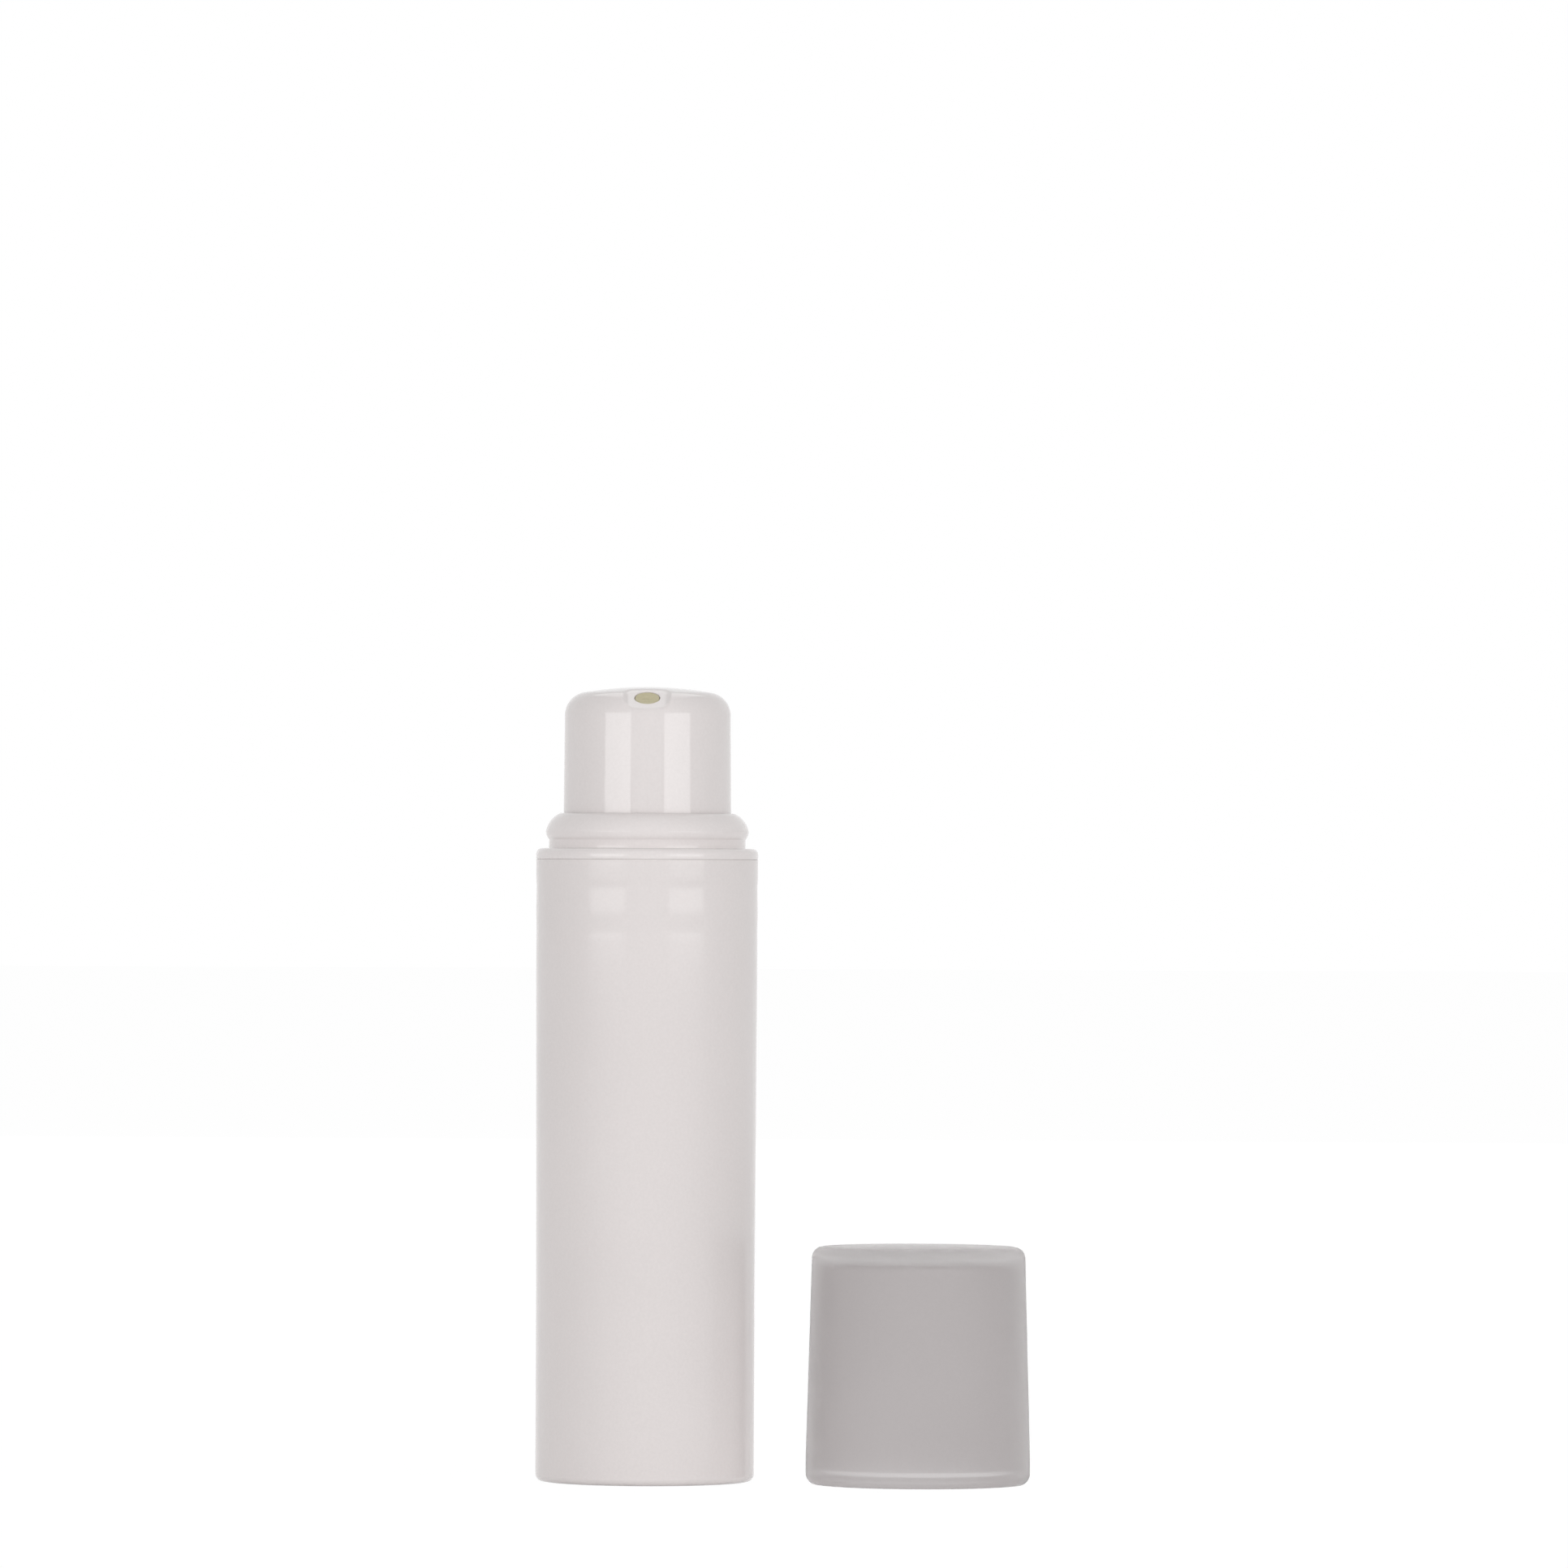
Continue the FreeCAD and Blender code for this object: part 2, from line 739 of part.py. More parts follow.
def overcap():
    rim_inner = bead_radius + cap_bead_gap
    rim_outer = rim_inner + cap_wall
    top_outer = rim_outer - cap_taper
    top_inner = top_outer - cap_wall
    inner_top = cap_height - cap_top_thickness
    snap_radius = bead_radius - cap_snap_overlap
    snap_low = cap_snap_height - cap_snap_width / 2
    snap_high = cap_snap_height + cap_snap_width / 2
    cap = turned([
        (0, cap_height),
        (top_outer, cap_height, cap_corner_radius),
        (rim_outer, cap_straight_height),
        (rim_outer, cap_rim_curve_height),
        through(rim_outer - rim_curve_inset(cap_rim_curve_height / 2), cap_rim_curve_height / 2),
        (rim_outer - rim_curve_inset(cap_rim_curve_height), 0),
        (rim_inner + cap_lead_in, 0),
        (rim_inner, cap_lead_in),
        (rim_inner, snap_low),
        (snap_radius, cap_snap_height),
        (rim_inner, snap_high),
        (top_inner, inner_top - cap_inner_corner_break),
        (top_inner - cap_inner_corner_break, inner_top),
        (0, inner_top),
    ])
    cap.translate(FreeCAD.Vector(
        body_radius + cap_stand_gap + rim_outer, -cap_forward, 0))
    return cap


def main():
    os.makedirs("parts", exist_ok=True)
    container().exportStep("parts/container.step")
    follower_piston().exportStep("parts/follower_piston.step")
    pump_collar().exportStep("parts/pump_collar.step")
    housing_gasket().exportStep("parts/housing_gasket.step")
    pump_housing().exportStep("parts/pump_housing.step")
    inlet_ball().exportStep("parts/inlet_ball.step")
    valve_rod().exportStep("parts/valve_rod.step")
    pump_piston().exportStep("parts/pump_piston.step")
    stem().exportStep("parts/stem.step")
    stem_guide().exportStep("parts/stem_guide.step")
    return_spring().exportStep("parts/return_spring.step")
    button_shell().exportStep("parts/button_shell.step")
    button_core().exportStep("parts/button_core.step")
    outlet_valve().exportStep("parts/outlet_valve.step")
    overcap().exportStep("parts/overcap.step")


main()
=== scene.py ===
import math

import bmesh
import bpy
from mathutils import Matrix, Vector


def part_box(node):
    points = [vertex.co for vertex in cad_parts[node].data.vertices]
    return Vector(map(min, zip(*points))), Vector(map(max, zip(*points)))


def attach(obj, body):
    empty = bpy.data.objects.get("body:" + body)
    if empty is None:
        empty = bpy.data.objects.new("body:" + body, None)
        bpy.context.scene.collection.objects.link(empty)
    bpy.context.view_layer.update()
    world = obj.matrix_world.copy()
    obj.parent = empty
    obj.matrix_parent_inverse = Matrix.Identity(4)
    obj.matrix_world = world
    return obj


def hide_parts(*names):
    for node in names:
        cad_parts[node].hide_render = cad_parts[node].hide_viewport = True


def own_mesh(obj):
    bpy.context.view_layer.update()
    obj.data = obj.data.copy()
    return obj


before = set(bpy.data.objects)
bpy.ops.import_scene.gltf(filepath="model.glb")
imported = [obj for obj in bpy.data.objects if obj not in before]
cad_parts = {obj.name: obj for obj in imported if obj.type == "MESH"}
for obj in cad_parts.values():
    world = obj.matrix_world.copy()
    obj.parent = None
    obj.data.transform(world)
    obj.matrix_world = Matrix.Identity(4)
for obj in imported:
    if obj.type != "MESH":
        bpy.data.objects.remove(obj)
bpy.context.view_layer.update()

# A white airless pump bottle, with its translucent overcap standing beside it.
# The outlet faces -Y, towards the camera. Sizes are in metres.
mm = 0.001
turning_steps = 256          # round the bottle
button_turning_steps = 360
outlet_turning_steps = 96
rounding_steps = 4           # along a small rounded edge
weld_distance = 0.0005 * mm
snap_fit = 0.05 * mm         # between pieces that are snapped together
fine_rounding = 0.08 * mm    # of an edge that is meant to be sharp

container_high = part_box("container")[1]
collar_low, collar_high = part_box("pump_collar")
button_low, button_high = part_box("button_shell")
cap_low, cap_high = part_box("overcap")

# Container, as the solid has it, with its sharp edges softened
mouth_radius = container_high.x
mouth_height = container_high.z
mouth_flare = 0.2 * mm
body_radius = mouth_radius - mouth_flare
straight_height = 22.0 * mm
container_wall = 1.1 * mm
bore_radius = body_radius - container_wall
base_edge_radius = 0.8 * mm
ring_inner_radius = 10.3 * mm
floor_recess = 1.2 * mm
floor_top = 2.4 * mm
vent_radius = 1.0 * mm
notch_width = 1.6 * mm
notch_depth = 0.4 * mm
mouth_rounding = 0.12 * mm
groove_low = 65.4 * mm
groove_high = 66.7 * mm
groove_depth = 0.2 * mm
wall_sink = 0.05 * mm        # how far the wall draws in where it cooled over the groove
upper_sink = (64.9 * mm, 67.9 * mm, 69.0 * mm)       # its foot, deepest height and head
lower_sink = (61.2 * mm, 62.8 * mm, 64.9 * mm)
lower_sink_share = 0.6       # its depth, as a share of the upper one
sunk_wall_start = 60 * mm    # from here up the outline takes short steps
sunk_wall_step = 0.2 * mm
plain_wall_step = 4 * mm

# Collar
collar_top = collar_high.z
plug_bottom = collar_low.z
flange_height = 1.25 * mm
flange_top = mouth_height + flange_height
flange_rounding = 0.65 * mm
plug_radius = bore_radius - snap_fit
plug_skirt_wall = 1.2 * mm
plug_inner_radius = plug_radius - plug_skirt_wall
collar_bore_radius = 9.75 * mm
neck_radius = 11.25 * mm
lip_radius = 10.0 * mm
bead_shoulder = (11.102 * mm, 75.376 * mm)
bead_crest = (11.62 * mm, 74.2 * mm)
bead_underside = (11.52 * mm, 73.75 * mm)
bead_foot_height = 73.28 * mm
bead_upper_steps = 16
bead_lower_steps = 10
deck_bottom = 63.8 * mm
deck_top = 65.0 * mm
tower_inner_radius = 6.75 * mm
tower_outer_radius = 7.75 * mm
catch_depth = 0.3 * mm
catch_height = 67.35 * mm
tower_top = 67.95 * mm
deck_hole_radius = 4.85 * mm

# Button
button_bottom = button_low.z
button_top = button_high.z
button_radius = button_high.x
button_draft = 0.1 * mm
button_edge_radius = 2.7 * mm
crown_radius = 43.0 * mm
button_wall = 1.0 * mm
clip_low = 83.35 * mm
clip_high = 83.95 * mm
clip_depth = 0.22 * mm
hollow_top = 87.05 * mm
outlet_reach = 7.0 * mm
outlet_below_top = 1.3 * mm
outlet_slope = math.radians(29.0)
flat_half_width = 3.2 * mm
flat_side_radius = 1.8 * mm
flat_wall = 1.1 * mm
crease_softness = 0.35 * mm  # where the flat meets the dome
outlet_radius = 1.45 * mm
outlet_rim_rounding = 0.10 * mm
outlet_rim_steps = 8
crown_steps = 64
inner_crown_steps = 40
button_edge_steps = 20
fine_wall = 1.2 * mm         # just under the rounded edge, where the flat ends
fine_wall_rings = 10

# Outlet valve, in its own frame under the flat
valve_recess = 0.10 * mm
valve_dish = 0.08 * mm
valve_radius = 1.4 * mm
valve_flange_radius = 1.95 * mm
valve_flange_height = 0.6 * mm
valve_tube_radius = 1.3 * mm
valve_bore_radius = 0.6 * mm
valve_tube_length = 1.55 * mm
valve_lip_thickness = 0.7 * mm
valve_slit_length = 1.3 * mm
valve_slit_width = 0.06 * mm

# Overcap
cap_height = cap_high.z
cap_middle = (cap_low + cap_high) / 2
cap_rim_radius = cap_high.x - cap_middle.x
cap_wall = 1.0 * mm
cap_taper = 0.65 * mm
cap_straight_height = 3.0 * mm
cap_corner_radius = 1.2 * mm
cap_rim_curve_height = 1.2 * mm
cap_rim_curve_middle = (12.644 * mm, 0.6 * mm)
cap_rim_edge = (12.053 * mm, 0)
cap_rim_steps = 10
cap_inner_top = 25.3 * mm
cap_inner_break = 0.8 * mm
cap_lead_in = 0.15 * mm
cap_bead_height = 1.3 * mm
cap_bead_width = 1.0 * mm
cap_bead_depth = 0.30 * mm


# Shapes
def arc(middle, radius, start, end, steps):
    """Outline points round a middle. Angles are from straight up, towards the outside."""
    points = []
    for step in range(steps + 1):
        angle = start + (end - start) * step / steps
        points.append((middle[0] + radius * math.sin(angle), middle[1] + radius * math.cos(angle)))
    return points


def arc_through(first, between, last, steps):
    """Outline points on the arc that passes through three places."""
    ax, az = first[0] - last[0], first[1] - last[1]
    bx, bz = between[0] - last[0], between[1] - last[1]
    turn = 2 * (ax * bz - az * bx)
    a_square = ax * ax + az * az
    b_square = bx * bx + bz * bz
    middle = (last[0] + (bz * a_square - az * b_square) / turn,
              last[1] + (ax * b_square - bx * a_square) / turn)
    start = math.atan2(first[0] - middle[0], first[1] - middle[1])
    end = math.atan2(last[0] - middle[0], last[1] - middle[1])
    radius = math.dist(first, middle)
    return arc(middle, radius, start, end, steps)


def turned(outline, steps=turning_steps):
    """A closed shape turned about Z. A corner is radius, height and, where needed, rounding."""
    shape = bmesh.new()
    corners = [shape.verts.new((corner[0], 0, corner[1])) for corner in outline]
    for index, here in enumerate(corners):
        after = corners[(index + 1) % len(corners)]
        if here.co.x > 0 or after.co.x > 0:
            shape.edges.new((here, after))
    for here, corner in zip(corners, outline):
        if len(corner) == 3:
            bmesh.ops.bevel(
                shape, geom=[here], offset=corner[2], offset_type="OFFSET", affect="VERTICES",
                segments=rounding_steps, profile=0.5, material=-1)
    bmesh.ops.spin(
        shape, geom=shape.verts[:] + shape.edges[:], cent=(0, 0, 0), axis=(0, 0, 1),
        angle=2 * math.pi, steps=steps, use_merge=True)
    bmesh.ops.remove_doubles(shape, verts=shape.verts[:], dist=weld_distance)
    bmesh.ops.recalc_face_normals(shape, faces=shape.faces[:])
    return shape


def even_normals(piece):
    """Lets the large faces set the shading, so that the light stays even over long walls."""
    normals = piece.modifiers.new("even_normals", "WEIGHTED_NORMAL")
    normals.keep_sharp = True


def finished(shape, name, material):
    """Turns a shape into a smooth object."""
    mesh = bpy.data.meshes.new(name)
    shape.to_mesh(mesh)
    shape.free()
    mesh.shade_smooth()
    piece = bpy.data.objects.new(name, mesh)
    bpy.context.scene.collection.objects.link(piece)
    mesh.materials.append(material)
    even_normals(piece)
    return piece


def cut_away(piece, cutter):
    """Cuts a shape out of a piece, and leaves the piece a plain mesh."""
    mesh = bpy.data.meshes.new("cutter")
    cutter.to_mesh(mesh)
    cutter.free()
    helper = bpy.data.objects.new("cutter", mesh)
    bpy.context.scene.collection.objects.link(helper)
    piece.modifiers.clear()
    cut = piece.modifiers.new("cut", "BOOLEAN")
    cut.operation = "DIFFERENCE"
    cut.solver = "EXACT"
    cut.object = helper
    bpy.context.view_layer.update()
    graph = bpy.context.evaluated_depsgraph_get()
    piece.data = bpy.data.meshes.new_from_object(piece.evaluated_get(graph))
    piece.modifiers.clear()
    bpy.data.objects.remove(helper)
    even_normals(piece)


def at_outlet():
    """From the outlet flat's own frame to its place on the button."""
    middle = Vector((0, -outlet_reach, button_top - outlet_below_top))
    return Matrix.Translation(middle) @ Matrix.Rotation(outlet_slope, 4, "X")


def container_wall_outline():
    """The outer wall above its straight part: a slight flare, with two faint sinks in it."""
    points = []
    height = straight_height
    sinks = ((*upper_sink, 1.0), (*lower_sink, lower_sink_share))
    while height < upper_sink[2]:
        flared = (height - straight_height) / (mouth_height - straight_height)
        radius = body_radius + mouth_flare * flared
        for foot, deepest, head, share in sinks:
            if foot < height < head:
                reach = deepest - foot if height < deepest else head - deepest
                lean = (height - deepest) / reach * math.pi / 2
                radius -= wall_sink * share * math.cos(lean) ** 2
        points.append((radius, height))
        height += sunk_wall_step if height > sunk_wall_start else plain_wall_step
    return points


def container(material):
    shape = turned([
        (vent_radius, floor_recess),
        (ring_inner_radius - floor_recess / 2, floor_recess),
        (ring_inner_radius, 0, fine_rounding),
        (body_radius, 0, base_edge_radius),
        *container_wall_outline(),
        (mouth_radius, mouth_height, mouth_rounding),
        (bore_radius, mouth_height, fine_rounding),
        (bore_radius, groove_high),
        (bore_radius + groove_depth, groove_high - groove_depth),
        (bore_radius + groove_depth, groove_low + groove_depth),
        (bore_radius, groove_low),
        (bore_radius, floor_top),
        (vent_radius, floor_top),
    ])
    piece = finished(shape, "bottle_container", material)
    notch = bmesh.new()
    bmesh.ops.create_cube(notch, size=1)
    bmesh.ops.scale(notch, vec=(notch_width, mouth_radius, notch_depth * 2), verts=notch.verts[:])
    notch_middle = ring_inner_radius - floor_recess + mouth_radius / 2
    bmesh.ops.translate(notch, vec=(0, notch_middle, 0), verts=notch.verts[:])
    cut_away(piece, notch)
    return piece


def collar(material):
    shape = turned([
        (deck_hole_radius, deck_top),
        (tower_inner_radius, deck_top),
        (tower_inner_radius, catch_height),
        (tower_inner_radius - catch_depth, catch_height),
        (tower_inner_radius, tower_top),
        (tower_outer_radius, tower_top, fine_rounding),
        (tower_outer_radius, deck_top),
        (collar_bore_radius, deck_top),
        (collar_bore_radius, collar_top, fine_rounding),
        *arc_through((lip_radius, collar_top), bead_shoulder, bead_crest, bead_upper_steps),
        *arc_through(
            bead_crest, bead_underside, (neck_radius, bead_foot_height), bead_lower_steps)[1:],
        (neck_radius, flange_top, fine_rounding),
        (mouth_radius, flange_top, flange_rounding),
        (mouth_radius, mouth_height, fine_rounding),
        (plug_radius, mouth_height),
        (plug_radius, plug_bottom, fine_rounding),
        (plug_inner_radius, plug_bottom),
        (plug_inner_radius, deck_bottom),
        (deck_hole_radius, deck_bottom),
    ])
    return finished(shape, "snap_collar", material)


def button_edge():
    """Radius and height of the middle of the button's rounded edge."""
    reach = button_radius - button_draft - button_edge_radius
    rise = math.sqrt((crown_radius - button_edge_radius) ** 2 - reach ** 2)
    return reach, button_top - crown_radius + rise


def outer_height(radius):
    """Height of the button's outside, dome or rounded edge, at this distance from the axis."""
    reach, height = button_edge()
    lean = math.atan2(reach, height - button_top + crown_radius)
    if radius < reach + button_edge_radius * math.sin(lean):
        return button_top - crown_radius + math.sqrt(crown_radius ** 2 - radius ** 2)
    beyond = min(radius - reach, button_edge_radius)
    return height + math.sqrt(button_edge_radius ** 2 - beyond ** 2)


def soft_minimum(first, second, softness):
    """The lower of two heights, with the crease between them rounded."""
    share = max(softness - abs(first - second), 0) / softness
    return min(first, second) - share * share * softness / 4


def valley_height(across, along, deeper):
    """Height of the sloped outlet flat, which turns up in soft sides."""
    height = button_top - outlet_below_top + math.tan(outlet_slope) * (along + outlet_reach)
    side = flat_side_radius + deeper
    beyond = abs(across) - (flat_half_width + deeper - side)
    if beyond <= 0:
        rise = 0
    elif beyond < side:
        rise = side - math.sqrt(side ** 2 - beyond ** 2)
    else:
        rise = crown_radius
    return height + (rise - deeper) / math.cos(outlet_slope)


def press_flat(shape):
    """Lowers the front of the dome, outside and inside, to the sloped outlet flat."""
    half_wall = button_wall / 2
    wall_middle = button_radius - button_draft - half_wall
    for vertex in shape.verts:
        across, along, height = vertex.co
        if along > 0 or height < clip_high + button_wall:
            continue
        radius = math.hypot(across, along)
        inside = radius < wall_middle and height < outer_height(radius) - half_wall
        deeper = flat_wall if inside else 0
        floor = valley_height(across, along, deeper)
        vertex.co.z = soft_minimum(height, floor, crease_softness)


def button(material):
    top_radius = button_radius - button_draft
    inner_radius = top_radius - button_wall
    crown_middle = (0, button_top - crown_radius)
    edge_out, edge_height = button_edge()
    lean = math.atan2(edge_out, edge_height - crown_middle[1])
    inner_shoulder = inner_radius - button_edge_radius / 2
    inner_lean = math.asin(inner_shoulder / crown_radius)
    top = arc(crown_middle, crown_radius, 0, lean, crown_steps)
    edge = arc(
        (edge_out, edge_height), button_edge_radius, lean, math.pi / 2, button_edge_steps)
    wall = [
        (top_radius, edge_height - fine_wall * ring / fine_wall_rings)
        for ring in range(1, fine_wall_rings + 1)]
    inner_top = arc(
        crown_middle, crown_radius - button_wall, inner_lean, 0, inner_crown_steps)
    shape = turned([
        *top,
        *edge[1:],
        *wall,
        (button_radius, button_bottom, fine_rounding),
        (button_radius - button_wall, button_bottom, fine_rounding),
        (inner_radius, clip_low),
        (inner_radius - clip_depth, clip_high),
        (inner_radius, clip_high),
        (inner_radius, hollow_top),
        *inner_top,
    ], button_turning_steps)
    press_flat(shape)
    piece = finished(shape, "press_button", material)
    hole = turned([
        (0, outlet_rim_rounding * 2),
        (outlet_radius + outlet_rim_rounding * 2, outlet_rim_rounding * 2),
        *arc(
            (outlet_radius + outlet_rim_rounding, -outlet_rim_rounding), outlet_rim_rounding,
            0, -math.pi / 2, outlet_rim_steps),
        (outlet_radius, -flat_wall * 2),
        (0, -flat_wall * 2),
    ], outlet_turning_steps)
    bmesh.ops.transform(hole, matrix=at_outlet(), verts=hole.verts[:])
    cut_away(piece, hole)
    return piece


def outlet_valve(material):
    flange_front = -flat_wall - snap_fit
    flange_back = flange_front - valve_flange_height
    tube_back = flange_back - valve_tube_length
    dish_low = -valve_recess - valve_dish
    shape = turned([
        (0, dish_low),
        (valve_bore_radius, dish_low),
        (valve_radius - fine_rounding * 2, -valve_recess, fine_rounding),
        (valve_radius, -valve_recess, fine_rounding),
        (valve_radius, flange_front),
        (valve_flange_radius, flange_front),
        (valve_flange_radius, flange_back),
        (valve_tube_radius, flange_back),
        (valve_tube_radius, tube_back),
        (valve_bore_radius, tube_back),
        (valve_bore_radius, dish_low - valve_lip_thickness),
        (0, dish_low - valve_lip_thickness),
    ], outlet_turning_steps)
    bmesh.ops.transform(shape, matrix=at_outlet(), verts=shape.verts[:])
    piece = finished(shape, "soft_outlet", material)
    slit = bmesh.new()
    bmesh.ops.create_cube(slit, size=1)
    bmesh.ops.scale(
        slit, vec=(valve_slit_length, valve_slit_width, valve_lip_thickness * 4),
        verts=slit.verts[:])
    bmesh.ops.transform(slit, matrix=at_outlet(), verts=slit.verts[:])
    cut_away(piece, slit)
    return piece


def overcap(material):
    rim_inner = cap_rim_radius - cap_wall
    top_outer = cap_rim_radius - cap_taper
    top_inner = top_outer - cap_wall
    shape = turned([
        (0, cap_height),
        (top_outer, cap_height, cap_corner_radius),
        (cap_rim_radius, cap_straight_height, fine_rounding),
        *arc_through(
            (cap_rim_radius, cap_rim_curve_height), cap_rim_curve_middle, cap_rim_edge,
            cap_rim_steps),
        (rim_inner + cap_lead_in, 0),
        (rim_inner, cap_lead_in),
        (rim_inner, cap_bead_height - cap_bead_width / 2, fine_rounding),
        (rim_inner - cap_bead_depth, cap_bead_height, fine_rounding),
        (rim_inner, cap_bead_height + cap_bead_width / 2, fine_rounding),
        (top_inner, cap_inner_top, cap_inner_break),
        (0, cap_inner_top),
    ])
    bmesh.ops.translate(shape, vec=(cap_middle.x, cap_middle.y, 0), verts=shape.verts[:])
    return finished(shape, "natural_overcap", material)


def spring(material):
    """The solid's own spring, with its flats smoothed over to a round wire."""
    shape = bmesh.new()
    shape.from_mesh(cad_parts["return_spring"].data)
    bmesh.ops.remove_doubles(shape, verts=shape.verts[:], dist=weld_distance)
    return finished(shape, "steel_spring", material)


# Materials
flow_size = 18 * mm          # of the drift in tone and gloss along a moulding
speck_size = 0.3 * mm
noise_low, noise_high = 0.3, 0.7      # most of a noise lies between these
tone_low, tone_high = 0.35, 0.65
plastic_gloss_drift = 0.08   # either way, as a share of the roughness
steel_gloss_drift = 0.2


def linear(hex_colour):
    """An sRGB hex colour as linear values."""
    values = []
    for start in (1, 3, 5):
        value = int(hex_colour[start:start + 2], 16) / 255
        values.append(value / 12.92 if value <= 0.04045 else ((value + 0.055) / 1.055) ** 2.4)
    return (*values, 1)


def add_node(tree, kind, inputs=None, **settings):
    """Adds one shader node. Each input is a plain value or the output that feeds it."""
    node = tree.nodes.new("ShaderNode" + kind)
    for name, value in settings.items():
        setattr(node, name, value)
    for name, value in (inputs or {}).items():
        if isinstance(value, bpy.types.NodeSocket):
            tree.links.new(value, node.inputs[name])
        else:
            node.inputs[name].default_value = value
    return node


def empty_material(name):
    material = bpy.data.materials.new(name)
    material.use_nodes = True
    material.node_tree.nodes.clear()
    return material


def moulded_plastic(
        name, light, dark, roughness, grain_size, grain_depth, passing=0, **shader_values):
    """Two near tones that drift with the flow of the melt, under a fine grain from the mould.

    The grain of a smooth tool is finer than a pixel. It is drawn coarser than it is and very
    shallow, so that it shows as a faint ripple in what the surface mirrors. Passing is the
    share of lamp light that goes straight through and lights what is behind the wall.
    """
    material = empty_material(name)
    tree = material.node_tree
    place = add_node(tree, "TexCoord")
    flow = add_node(tree, "TexNoise", {
        "Vector": place.outputs["Object"], "Scale": 1 / flow_size, "Detail": 1.0,
        "Roughness": 0.4})
    specks = add_node(tree, "TexNoise", {
        "Vector": place.outputs["Object"], "Scale": 1 / speck_size, "Detail": 1.0})
    mixed = add_node(tree, "Math", {
        0: flow.outputs["Fac"], 1: specks.outputs["Fac"]}, operation="ADD")
    shared = add_node(tree, "Math", {0: mixed.outputs[0], 1: 0.5}, operation="MULTIPLY")
    tone = add_node(tree, "ValToRGB", {"Fac": shared.outputs[0]})
    tone.color_ramp.elements[0].position = tone_low
    tone.color_ramp.elements[0].color = linear(dark)
    tone.color_ramp.elements[1].position = tone_high
    tone.color_ramp.elements[1].color = linear(light)
    gloss = add_node(tree, "MapRange", {
        "Value": flow.outputs["Fac"], "From Min": noise_low, "From Max": noise_high,
        "To Min": roughness * (1 - plastic_gloss_drift),
        "To Max": roughness * (1 + plastic_gloss_drift)})
    grain = add_node(tree, "TexNoise", {
        "Vector": place.outputs["Object"], "Scale": 1 / grain_size, "Detail": 2.0,
        "Roughness": 0.6})
    bump = add_node(tree, "Bump", {
        "Height": grain.outputs["Fac"], "Strength": 1.0, "Distance": grain_depth})
    shader = add_node(tree, "BsdfPrincipled", {
        "Base Color": tone.outputs["Color"], "Roughness": gloss.outputs["Result"],
        "Normal": bump.outputs["Normal"], **shader_values})
    surface = shader.outputs["BSDF"]
    if passing:
        rays = add_node(tree, "LightPath")
        share = add_node(tree, "Math", {
            0: rays.outputs["Is Shadow Ray"], 1: passing}, operation="MULTIPLY")
        clear = add_node(tree, "BsdfTransparent")
        surface = add_node(tree, "MixShader", {
            0: share.outputs[0], 1: surface, 2: clear.outputs[0]}).outputs[0]
    add_node(tree, "OutputMaterial", {"Surface": surface})
    return material


# White polypropylene, moulded against a smooth tool that isn't polished: broad soft glints.
satin_polypropylene = moulded_plastic(
    "satin_polypropylene", "#E2DCDB", "#DED8D7",
    roughness=0.10, grain_size=0.5 * mm, grain_depth=0.0003 * mm,
    **{"IOR": 1.49, "Specular IOR Level": 0.3})

# The same resin with a smooth skin, painted a little lighter than the other white pieces: painted
# light in the shaded neck and under the bead, where light scatters through the plastic.
glossy_polypropylene = moulded_plastic(
    "glossy_polypropylene", "#E5DFDE", "#E1DBDA",
    roughness=0.06, grain_size=0.8 * mm, grain_depth=0.0004 * mm,
    **{"IOR": 1.49})

# The same resin moulded against a polished tool: clear upright reflections with a faint ripple.
polished_polypropylene = moulded_plastic(
    "polished_polypropylene", "#E1DBDA", "#DDD7D6",
    roughness=0.06, grain_size=1.6 * mm, grain_depth=0.0004 * mm,
    **{"IOR": 1.49})

# Unpigmented polypropylene in a 1 mm wall, cloudy all through: light passes, but no picture.
# The low IOR stands for the cloudiness, which hides how clear plastic bends and mirrors light.
# Its grey tint is partly the plastic's own and partly painted shade, darker than the clear resin,
# for darker surroundings showing through the wall.
cloudy_polypropylene = moulded_plastic(
    "cloudy_polypropylene", "#D6D3D3", "#D2CFCF",
    roughness=0.5, grain_size=1.2 * mm, grain_depth=0.0004 * mm, passing=0.9,
    **{"IOR": 1.12, "Transmission Weight": 0.9, "Coat Weight": 0.05, "Coat Roughness": 0.04})

# Unpigmented polypropylene in thick inner pieces, milky and left as moulded.
milky_polypropylene = moulded_plastic(
    "milky_polypropylene", "#DAD9D2", "#D3D2CA",
    roughness=0.42, grain_size=0.3 * mm, grain_depth=0.001 * mm,
    **{"IOR": 1.49, "Subsurface Weight": 0.2, "Subsurface Scale": 1.0 * mm})

# Low-density polyethylene, soft and waxy, as the seals need to be.
waxy_polyethylene = moulded_plastic(
    "waxy_polyethylene", "#D9D7CB", "#D0CEC1",
    roughness=0.50, grain_size=0.3 * mm, grain_depth=0.0015 * mm,
    **{"IOR": 1.51, "Subsurface Weight": 0.3, "Subsurface Scale": 1.0 * mm})

# Beige thermoplastic elastomer, matt and rubbery, in the outlet.
soft_elastomer = moulded_plastic(
    "soft_elastomer", "#BEB696", "#B6AE8C",
    roughness=0.55, grain_size=0.2 * mm, grain_depth=0.002 * mm,
    **{"IOR": 1.50})

# Expanded polyethylene sheet, cut to a ring, matt with small closed cells.
foam_sheet = moulded_plastic(
    "foam_sheet", "#CDCBC4", "#C2C0B8",
    roughness=0.85, grain_size=0.25 * mm, grain_depth=0.03 * mm,
    **{"IOR": 1.45})


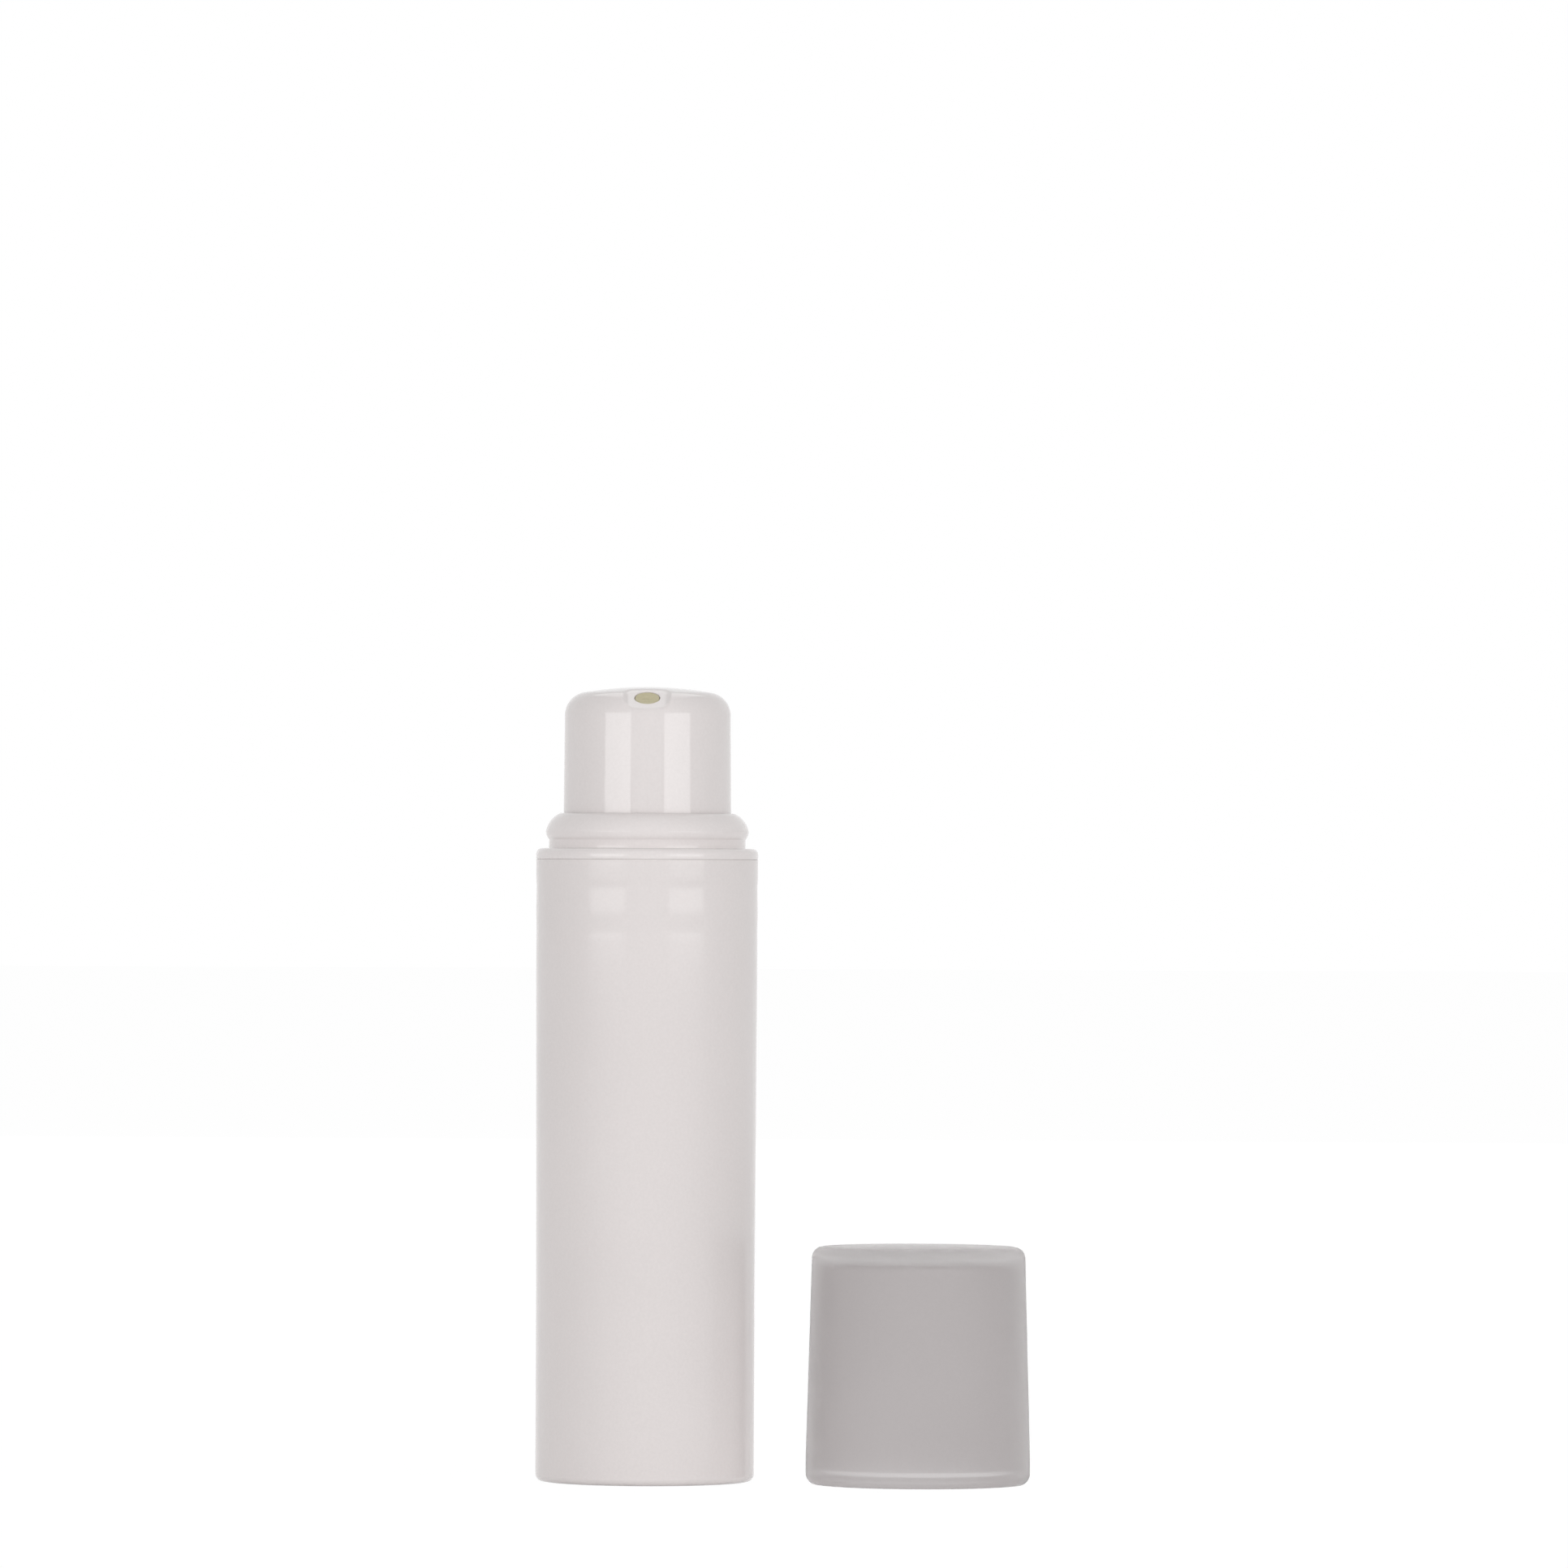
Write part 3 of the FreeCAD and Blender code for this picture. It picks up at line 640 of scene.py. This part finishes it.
def bare_steel(name, colour, roughness, streak_size, streak_depth, stretch):
    """Bare stainless steel. Its marks are shown coarser than they are, or they wouldn't show."""
    material = empty_material(name)
    tree = material.node_tree
    place = add_node(tree, "TexCoord")
    drawn = add_node(tree, "Mapping", {"Vector": place.outputs["Object"], "Scale": stretch})
    marks = add_node(tree, "TexNoise", {
        "Vector": drawn.outputs["Vector"], "Scale": 1 / streak_size, "Detail": 3.0})
    gloss = add_node(tree, "MapRange", {
        "Value": marks.outputs["Fac"], "To Min": roughness * (1 - steel_gloss_drift),
        "To Max": roughness * (1 + steel_gloss_drift)})
    bump = add_node(tree, "Bump", {"Height": marks.outputs["Fac"], "Distance": streak_depth})
    shader = add_node(tree, "BsdfPrincipled", {
        "Base Color": linear(colour), "Metallic": 1.0, "Roughness": gloss.outputs["Result"],
        "Normal": bump.outputs["Normal"]})
    add_node(tree, "OutputMaterial", {"Surface": shader.outputs["BSDF"]})
    return material


# Stainless spring wire, drawn through a die, which leaves marks along the wire.
drawn_steel = bare_steel(
    "drawn_steel", "#B9B9BB",
    roughness=0.28, streak_size=0.2 * mm, streak_depth=0.002 * mm, stretch=(1, 1, 4))

# Lapped stainless ball, nearly a mirror.
lapped_steel = bare_steel(
    "lapped_steel", "#C6C6C8",
    roughness=0.12, streak_size=0.3 * mm, streak_depth=0.0004 * mm, stretch=(1, 1, 1))

# Pieces and what they stand for
dressed = [
    (container(satin_polypropylene), "bottle", "container", "container_pp"),
    (collar(glossy_polypropylene), "bottle", "pump_collar", "collar_pp"),
    (button(polished_polypropylene), "button", "button_shell", "button_pp"),
    (outlet_valve(soft_elastomer), "button", "outlet_valve", "soft_insert"),
    (overcap(cloudy_polypropylene), "cap", "overcap", "cap_pp"),
    (spring(drawn_steel), "bottle", "return_spring", "spring_steel"),
]
for piece, body, node, slot in dressed:
    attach(piece, body)
    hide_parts(node)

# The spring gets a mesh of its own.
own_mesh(bpy.data.objects["steel_spring"])

inner_finishes = {
    "follower_piston": waxy_polyethylene,
    "housing_gasket": foam_sheet,
    "pump_housing": milky_polypropylene,
    "inlet_ball": lapped_steel,
    "valve_rod": milky_polypropylene,
    "pump_piston": waxy_polyethylene,
    "stem": milky_polypropylene,
    "stem_guide": milky_polypropylene,
    "button_core": milky_polypropylene,
}
for node, material in inner_finishes.items():
    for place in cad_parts[node].material_slots:
        place.material = material


# Floor, light and camera
sky_level = 0.25
floor_reach = 6
floor_whiteness = 0.96       # the rest is the lit card, which keeps the object's shadow
floor_level = 1.021          # makes up for what the lit card takes away

# Azimuth from the camera side towards +X and elevation in degrees, distance, width and height
# in metres, power in watts, and whether the lamp shows as a glint
lamps = {
    "left_softbox": (-41.5, 5.6, 1.2, 0.82, 0.245, 1.55, True),
    "right_softbox": (42.5, 5.6, 1.2, 0.82, 0.245, 1.55, True),
    "top_softbox": (180, 58, 1.2, 0.9, 0.7, 2.0, True),
    "front_fill": (0, 6, 1.6, 1.6, 1.2, 5.2, False),
    "left_fill": (-52, 10, 1.6, 0.8, 1.2, 7.6, False),
    "right_fill": (52, 10, 1.6, 0.8, 1.2, 9.0, False),
    "back_fill": (180, 8, 1.6, 1.6, 1.2, 10.0, False),
    "overhead_fill": (180, 88, 1.4, 1.2, 1.2, 3.0, False),
}
lamps_aim = Vector((0, 0, 0.06))

# A long lens, nearly level and tilted a quarter of a degree, as the photograph's outlines are
lens_length = 275.9
eye_place = (0.0156, -1.374, 0.072)
eye_pitch = math.radians(90 + 0.322)
eye_roll = math.radians(0.25)


def white_where_seen(tree, lit, whiteness, level=1.0):
    """Mixes a lit surface or sky with plain white for camera, glossy and transmitted rays."""
    rays = add_node(tree, "LightPath")
    seen = add_node(tree, "Math", {
        0: rays.outputs["Is Camera Ray"], 1: rays.outputs["Is Glossy Ray"]}, operation="MAXIMUM")
    seen = add_node(tree, "Math", {
        0: seen.outputs[0], 1: rays.outputs["Is Transmission Ray"]}, operation="MAXIMUM")
    share = add_node(tree, "Math", {0: seen.outputs[0], 1: whiteness}, operation="MULTIPLY")
    white = add_node(tree, "Emission", {"Color": (1, 1, 1, 1), "Strength": level})
    return add_node(tree, "MixShader", {0: share.outputs[0], 1: lit, 2: white.outputs[0]})


def floor():
    shape = bmesh.new()
    bmesh.ops.create_grid(shape, x_segments=1, y_segments=1, size=floor_reach)
    mesh = bpy.data.meshes.new("floor")
    shape.to_mesh(mesh)
    shape.free()
    ground = bpy.data.objects.new("floor", mesh)
    bpy.context.scene.collection.objects.link(ground)
    material = empty_material("studio_floor")
    tree = material.node_tree
    card = add_node(tree, "BsdfDiffuse", {"Color": linear("#F4F4F4")})
    mixed = white_where_seen(tree, card.outputs[0], floor_whiteness, floor_level)
    add_node(tree, "OutputMaterial", {"Surface": mixed.outputs[0]})
    mesh.materials.append(material)


def sky():
    world = bpy.data.worlds.new("studio")
    bpy.context.scene.world = world
    world.use_nodes = True
    tree = world.node_tree
    tree.nodes.clear()
    around = add_node(tree, "Background", {"Color": linear("#FFFFFF"), "Strength": sky_level})
    mixed = white_where_seen(tree, around.outputs[0], whiteness=1.0)
    add_node(tree, "OutputWorld", {"Surface": mixed.outputs[0]})


def softbox(name, azimuth, elevation, distance, width, height, power, mirrored):
    """A lamp that faces the bottle. It's never seen through the overcap, which so stays even."""
    light = bpy.data.lights.new(name, "AREA")
    light.shape = "RECTANGLE"
    light.size = width
    light.size_y = height
    light.energy = power
    lamp = bpy.data.objects.new(name, light)
    bpy.context.scene.collection.objects.link(lamp)
    side = math.radians(azimuth)
    rise = math.radians(elevation)
    away = Vector((
        math.sin(side) * math.cos(rise), -math.cos(side) * math.cos(rise), math.sin(rise)))
    lamp.location = lamps_aim + away * distance
    lamp.rotation_euler = away.to_track_quat("Z", "Y").to_euler()
    lamp.visible_glossy = mirrored
    lamp.visible_transmission = False


def camera():
    lens = bpy.data.cameras.new("camera")
    lens.lens = lens_length
    lens.clip_start = 0.01
    lens.clip_end = 50
    eye = bpy.data.objects.new("camera", lens)
    bpy.context.scene.collection.objects.link(eye)
    eye.matrix_world = (
        Matrix.Translation(eye_place)
        @ Matrix.Rotation(eye_pitch, 4, "X")
        @ Matrix.Rotation(eye_roll, 4, "Z"))
    bpy.context.scene.camera = eye


bpy.context.scene.view_settings.view_transform = "Standard"
floor()
sky()
for lamp_name, setting in lamps.items():
    softbox(lamp_name, *setting)
camera()
